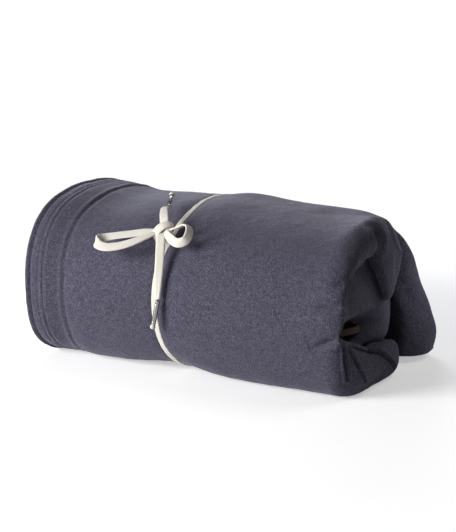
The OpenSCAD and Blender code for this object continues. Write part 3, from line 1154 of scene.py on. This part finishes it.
wrap_path, wrap_facing = cord_round_roll()
knot_back = at_knot((1, 1, -3.5))
wrap_path = np.concatenate([[knot_back], wrap_path, [knot_back]])
wrap_facing = np.concatenate([[OUT], wrap_facing, [OUT]])
cord_piece(
    "drawcord",
    [(wrap_path, wrap_facing, CORD_TIGHT_WIDTH, CORD_THICKNESS)],
    ["cord_wrap"],
    "roll",
)


def bow_strand(places, facings, widths=CORD_WIDTH, thicknesses=CORD_THICKNESS):
    path = [at_knot(p) for p in places]
    facing = [a * ALONG + u * UP_CLOTH + o * OUT for a, u, o in facings]
    return (path, np.array(facing), widths, thicknesses)


left_loop = bow_strand(
    [(-3, -1, -0.5), (-9, -2, 0.5), (-20, -5, 2), (-33, -9, 3), (-48, -13.5, 4),
     (-58, -18, 5.5), (-62, -22.5, 8.5), (-59, -28, 12), (-50, -32, 13), (-36, -29.5, 12),
     (-22, -21.5, 10), (-12, -12, 7), (-5, -5.5, 4)],
    [(0, 0, 1), (0, 0, 1), (0, 0.1, 1), (0, 0.2, 1), (0.1, 0.2, 1),
     (0.6, 0.1, 0.8), (1, 0, 0.05), (0.6, 0, -0.8), (0, 0, -1), (0, 0, -1),
     (0, 0, -1), (0, 0, -1), (0, 0, -1)],
    [4, 6, 8.8, 9.2, 9, 9, 9, 9, 9, 9, 8.6, 7, 4],
)
cord_piece("left_bow_loop", [left_loop], ["bow_loop_left"], "left_loop")

right_loop = bow_strand(
    [(2, 0, 1), (8, 0.5, 3), (17, 2.5, 6), (25, 4, 8.5), (30.5, 0.5, 9.5), (32.5, -6, 9),
     (31, -12.5, 8), (23.5, -15.5, 7.5), (15, -12, 7), (8.5, -7, 6.5), (3, -2, 3.5)],
    [(0, 0.6, 0.8), (0, 0.7, 0.7), (0.1, 0.8, 0.6), (0.4, 0.8, 0.5), (0.9, 0.4, 0.5),
     (1, -0.1, 0.6), (0.7, -0.6, 0.6), (0, -0.6, 0.8), (-0.2, -0.4, 0.9), (-0.2, -0.3, 0.95),
     (0, -0.2, 1)],
    [4, 5, 6, 7, 8.5, 9, 9, 9, 9, 7, 4],
)
cord_piece("right_bow_loop", [right_loop], ["bow_loop_right"], "right_loop")

knot_core = bow_strand(
    [(-4, -6, -3), (-2, -3, 0.5), (0, 0, 1.5), (3, 3, 0.5), (5, 6, -3)],
    [(-0.4, -0.6, 0.7), (0, -0.2, 1), (0, 0, 1), (0.1, 0.3, 1), (0.4, 0.6, 0.6)],
    [9, 11, 12, 11, 9],
    6,
)
knot_over = bow_strand(
    [(-7, -9.5, -3), (-6.5, -7, 3), (-3, -2.5, 6.5), (1.5, 2, 7), (5.5, 6, 4), (6.5, 8, -2)],
    [(-0.7, -0.8, 0.1), (-0.5, -0.6, 0.8), (-0.2, -0.2, 1), (0.1, 0.2, 1), (0.5, 0.5, 0.6),
     (0.7, 0.8, 0)],
    [7, 8.5, 9.5, 9.5, 8.5, 7],
)
knot_side = bow_strand(
    [(4, -8.5, -3), (6, -5.5, 2), (7.5, -0.5, 4), (5.5, 4.5, 3), (2, 7.5, -2)],
    [(0.4, -0.8, 0.3), (0.5, -0.4, 0.8), (0.5, 0, 0.9), (0.4, 0.5, 0.8), (0.1, 0.9, 0.1)],
    [6, 7, 7.5, 7, 6],
)
cord_piece("knot_strands", [knot_core, knot_over, knot_side], ["bow_knot"], "roll")

# Long tail: out of the knot's foot, down the front and into its metal tip
tail_pivot = np.array(frame["joints"][4]["pos_m"]) / MM
long_tail_path = np.array(
    [
        at_knot((0, -4, 3)),
        at_knot((2.5, -10, 5.5)),
        (tail_pivot[0] + 2, tail_pivot[1] + 1, KNOT[2] - 22),
        (tail_pivot[0] + 1.5, tail_pivot[1] - 0.5, KNOT[2] - 36),
        (tail_pivot[0] + 0.6, tail_pivot[1] - 0.5, KNOT[2] - 50),
        tail_pivot,
    ]
)
long_tail_facing = np.array(
    [(0.1, -0.6, 0.7), (0.2, -0.8, 0.4), (0.3, -1, 0.1), (0.25, -1, 0), (0.15, -1, 0), (0, -1, 0)]
)
cord_piece(
    "long_tail_cord",
    [(long_tail_path, long_tail_facing, [7, 9, 9, 8.4, 7, 4.4], [3, 2.4, 2.4, 2.4, 2.6, 3.4])],
    ["long_tail"],
    "long_cord_tail",
)

# Short tail: over the top of the knot and up the cloth
short_pivot = np.array(frame["joints"][6]["pos_m"]) / MM
short_path = np.array(
    [
        at_knot((0, 3, 3)),
        at_knot((-1.5, 9, 5.5)),
        at_knot((-7, 18, 2)),
        at_knot((-12, 27, -3)),
        short_pivot,
    ]
)
short_facing = np.array([(0, -0.4, 0.8), (0, -0.7, 0.7), (0.1, -0.6, 0.8), (0.1, -0.5, 0.9), (0, -0.3, 1)])
cord_piece(
    "short_tail_cord",
    [(short_path, short_facing, [8, 9, 8.5, 6.8, 4.4], [3, 2.6, 2.4, 2.6, 3.4])],
    ["short_tail"],
    "short_cord_tail",
)


# ---------------------------------------------------------------- metal tips and tufts

AGLET_RADIUS = 2.2
AGLET_LENGTH = 24


def frame_along(axis):
    axis = unit(np.asarray(axis, float))
    side = unit(np.cross(axis, [0.3, 0.2, 0.93]))
    return axis, side, np.cross(axis, side)


def turned(profile, start, axis, sides=32):
    """Closed tube turned about an axis, from (distance along, radius) pairs."""
    axis, side, other = frame_along(axis)
    t = np.linspace(0, 2 * math.pi, sides, endpoint=False)
    ring = np.cos(t)[:, None] * side + np.sin(t)[:, None] * other
    rows = [start + axis * along + ring * radius for along, radius in profile]
    return np.array(rows)


def aglet_profile():
    """A rolled metal sleeve: lips at both ends and two crimped rings."""
    outer = [(0, AGLET_RADIUS - 0.35), (0.15, AGLET_RADIUS), (0.9, AGLET_RADIUS + 0.12),
             (1.6, AGLET_RADIUS)]
    for ring in (3.2, AGLET_LENGTH - 3.2):
        outer += [(ring - 0.8, AGLET_RADIUS), (ring - 0.3, AGLET_RADIUS - 0.12),
                  (ring + 0.3, AGLET_RADIUS - 0.12), (ring + 0.8, AGLET_RADIUS)]
    outer += [(AGLET_LENGTH - 1.6, AGLET_RADIUS), (AGLET_LENGTH - 0.9, AGLET_RADIUS + 0.12),
              (AGLET_LENGTH - 0.15, AGLET_RADIUS), (AGLET_LENGTH, AGLET_RADIUS - 0.35)]
    return outer


def solid_of(grid):
    faces = grid_faces(*grid.shape[:2])
    if tube_volume(grid) < 0:
        faces = [face[::-1] for face in faces]
    return grid.reshape(-1, 3), faces


def metal_tip(name, start, axis, node, body):
    points, faces = solid_of(turned(aglet_profile(), start, axis))
    piece = new_piece(name, points, faces, nickel, 40)
    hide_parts(node)
    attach(piece, body)


def tuft(name, start, axis, node, body):
    """The cord's end, knotted into a small bead past the metal tip."""
    profile = [(-1.5, 1.4), (0, 1.7), (0.7, 1.5), (1.3, 2.0), (2.1, 2.6), (3.2, 2.75),
               (4.2, 2.4), (4.9, 1.6), (5.2, 0.7)]
    grid = turned(profile, start, axis, 24)
    grid = grid + (0.22 * lumps(grid, 1.6, 5))[..., None] * unit(grid - grid.mean(axis=1)[:, None])
    points, faces = solid_of(grid)
    piece = new_piece(name, points, faces, cotton)
    braid = np.zeros((len(points), 3))
    braid[:, 1] = np.repeat([along for along, _ in profile], 24)
    attribute = piece.data.attributes.new("braid", "FLOAT_VECTOR", "POINT")
    attribute.data.foreach_set("vector", braid.ravel())
    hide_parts(node)
    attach(piece, body)


def centre_of(node):
    low, high = box_mm(node)
    return (low + high) / 2


def tip_and_tuft(prefix, pivot, body):
    """Metal tip and tuft on the line from the cord's end through the CAD part's tip."""
    axis = unit(centre_of(prefix + "_aglet") - pivot)
    start = pivot + axis * 1.2
    metal_tip(prefix + "_metal_tip", start, axis, prefix + "_aglet", body)
    tuft(prefix + "_tuft", start + axis * AGLET_LENGTH, axis, prefix + "_end_knot", body)


tip_and_tuft("long_tail", tail_pivot, "long_cord_tip")
tip_and_tuft("short_tail", short_pivot, "short_cord_tip")


# Loop of cord tucked into the hollow of the core, in tan cotton darkened with painted shade of the hollow
loop_x = CORE_END_X - 15
loop_path = [(loop_x - 16, -100, 61), (loop_x - 11, -94, 60), (loop_x - 7, -86, 59),
             (loop_x - 3, -72, 57.5), (loop_x + 3, -50, 55.5), (loop_x + 5, -32, 53.5),
             (loop_x + 4, -23, 53), (loop_x - 4, -21, 53), (loop_x - 12, -30, 54)]
loop_facing = [(0.6, -0.7, 0.2), (0.9, -0.3, 0.2), (1, -0.1, 0.2), (1, 0, 0.3), (1, 0, 0.2),
               (1, 0.2, 0.2), (0.7, 0.8, 0.1), (-0.3, 1, 0), (-1, 0.3, 0)]
cord_piece(
    "tucked_cord_loop",
    [(loop_path, np.array(loop_facing), 6.6, CORD_THICKNESS)],
    ["core_cord_loop"],
    "roll",
    tan_cotton_painted_shade,
)


# ---------------------------------------------------------------- floor, light and camera

FLOOR_GLOW = 0.42  # keeps the floor white to the camera without lighting the object


def floor_material():
    """Matt white near the object, and clear further out, where the white world shows."""
    material, nodes, links, shader = new_material("studio_floor")
    shader.inputs["Base Color"].default_value = (0.85, 0.85, 0.85, 1)
    shader.inputs["Roughness"].default_value = 1
    shader.inputs["Specular IOR Level"].default_value = 0
    path = nodes.new("ShaderNodeLightPath")
    glow = nodes.new("ShaderNodeMath")
    glow.operation = "MULTIPLY"
    glow.inputs[1].default_value = FLOOR_GLOW
    links.new(path.outputs["Is Camera Ray"], glow.inputs[0])
    shader.inputs["Emission Color"].default_value = (1, 1, 1, 1)
    links.new(glow.outputs[0], shader.inputs["Emission Strength"])
    place = nodes.new("ShaderNodeTexCoord")
    distance = nodes.new("ShaderNodeVectorMath")
    distance.operation = "LENGTH"
    links.new(place.outputs["Object"], distance.inputs[0])
    fade = nodes.new("ShaderNodeMapRange")
    fade.interpolation_type = "SMOOTHSTEP"
    fade.inputs["From Min"].default_value = 0.35
    fade.inputs["From Max"].default_value = 0.75
    links.new(distance.outputs["Value"], fade.inputs["Value"])
    clear = nodes.new("ShaderNodeBsdfTransparent")
    mixer = nodes.new("ShaderNodeMixShader")
    links.new(fade.outputs["Result"], mixer.inputs["Fac"])
    links.new(shader.outputs["BSDF"], mixer.inputs[1])
    links.new(clear.outputs["BSDF"], mixer.inputs[2])
    links.new(mixer.outputs["Shader"], nodes["Material Output"].inputs["Surface"])
    return material


def floor_piece():
    """White floor that fades out, so that the backdrop shows no horizon."""
    mesh = bpy.data.meshes.new("floor")
    reach = 3
    corners = [(-reach, -reach, 0), (reach, -reach, 0), (reach, reach, 0), (-reach, reach, 0)]
    mesh.from_pydata(corners, [], [(0, 1, 2, 3)])
    floor = bpy.data.objects.new("floor", mesh)
    bpy.context.scene.collection.objects.link(floor)
    mesh.materials.append(floor_material())
    return floor


def area_light(name, place, target, size, power, colour=(1, 1, 1)):
    data = bpy.data.lights.new(name, "AREA")
    data.shape = "DISK"
    data.size = size
    data.energy = power
    data.color = colour
    light = bpy.data.objects.new(name, data)
    light.location = place
    way = Vector(target) - Vector(place)
    light.rotation_euler = way.to_track_quat("-Z", "Y").to_euler()
    light.visible_camera = False
    bpy.context.scene.collection.objects.link(light)


def spot_light(name, place, target, angle, radius, power):
    data = bpy.data.lights.new(name, "SPOT")
    data.spot_size = math.radians(angle)
    data.spot_blend = 1
    data.shadow_soft_size = radius
    data.energy = power
    light = bpy.data.objects.new(name, data)
    light.location = place
    way = Vector(target) - Vector(place)
    light.rotation_euler = way.to_track_quat("-Z", "Y").to_euler()
    light.visible_camera = False
    bpy.context.scene.collection.objects.link(light)


def studio_world():
    """White to the camera, and a softer, left-lit surround for the light."""
    world = bpy.data.worlds.new("studio")
    bpy.context.scene.world = world
    world.use_nodes = True
    nodes, links = world.node_tree.nodes, world.node_tree.links
    nodes.clear()
    out = nodes.new("ShaderNodeOutputWorld")
    mixer = nodes.new("ShaderNodeMixShader")
    path = nodes.new("ShaderNodeLightPath")
    seen = nodes.new("ShaderNodeBackground")
    seen.inputs["Color"].default_value = (1, 1, 1, 1)
    seen.inputs["Strength"].default_value = 1.02
    glow = nodes.new("ShaderNodeBackground")
    way = nodes.new("ShaderNodeTexCoord")
    parts = nodes.new("ShaderNodeSeparateXYZ")
    links.new(way.outputs["Generated"], parts.inputs["Vector"])
    side = nodes.new("ShaderNodeMapRange")
    side.inputs["From Min"].default_value = -0.6
    side.inputs["From Max"].default_value = 0.7
    side.inputs["To Min"].default_value = 0.40
    side.inputs["To Max"].default_value = 0.015
    links.new(parts.outputs["X"], side.inputs["Value"])
    overhead = nodes.new("ShaderNodeMapRange")
    overhead.inputs["To Min"].default_value = 1
    overhead.inputs["To Max"].default_value = 0.3
    links.new(parts.outputs["Z"], overhead.inputs["Value"])
    strength = nodes.new("ShaderNodeMath")
    strength.operation = "MULTIPLY"
    links.new(side.outputs["Result"], strength.inputs[0])
    links.new(overhead.outputs["Result"], strength.inputs[1])
    links.new(strength.outputs[0], glow.inputs["Strength"])
    links.new(path.outputs["Is Camera Ray"], mixer.inputs["Fac"])
    links.new(glow.outputs["Background"], mixer.inputs[1])
    links.new(seen.outputs["Background"], mixer.inputs[2])
    links.new(mixer.outputs["Shader"], out.inputs["Surface"])


def camera_at(azimuth, elevation, distance, target, lens):
    data = bpy.data.cameras.new("camera")
    data.lens = lens
    data.sensor_width = 36
    camera = bpy.data.objects.new("camera", data)
    a, e = math.radians(azimuth), math.radians(elevation)
    way = Vector((math.sin(a) * math.cos(e), -math.cos(a) * math.cos(e), math.sin(e)))
    camera.location = Vector(target) + way * distance
    camera.rotation_euler = (-way).to_track_quat("-Z", "Y").to_euler()
    bpy.context.scene.collection.objects.link(camera)
    bpy.context.scene.camera = camera


floor_piece()
studio_world()
aim = (0, 0, 0.08)
area_light("key", (-0.9, -1.34, 0.5), aim, 0.9, 43)
area_light("back", (-0.7, 1.4, 0.75), aim, 0.7, 13, (0.93, 0.95, 1))
area_light("rim", (0.75, 0.4, 1.1), aim, 0.8, 3.5)
spot_light("flap_fill", (0.52, 0.10, 0.16), (0.16, 0.09, 0.09), 28, 0.05, 3.2)
bpy.context.scene.view_settings.view_transform = "Standard"
camera_at(28, 13, 1.5, (-0.0145, 0.006, 0.091), 100)
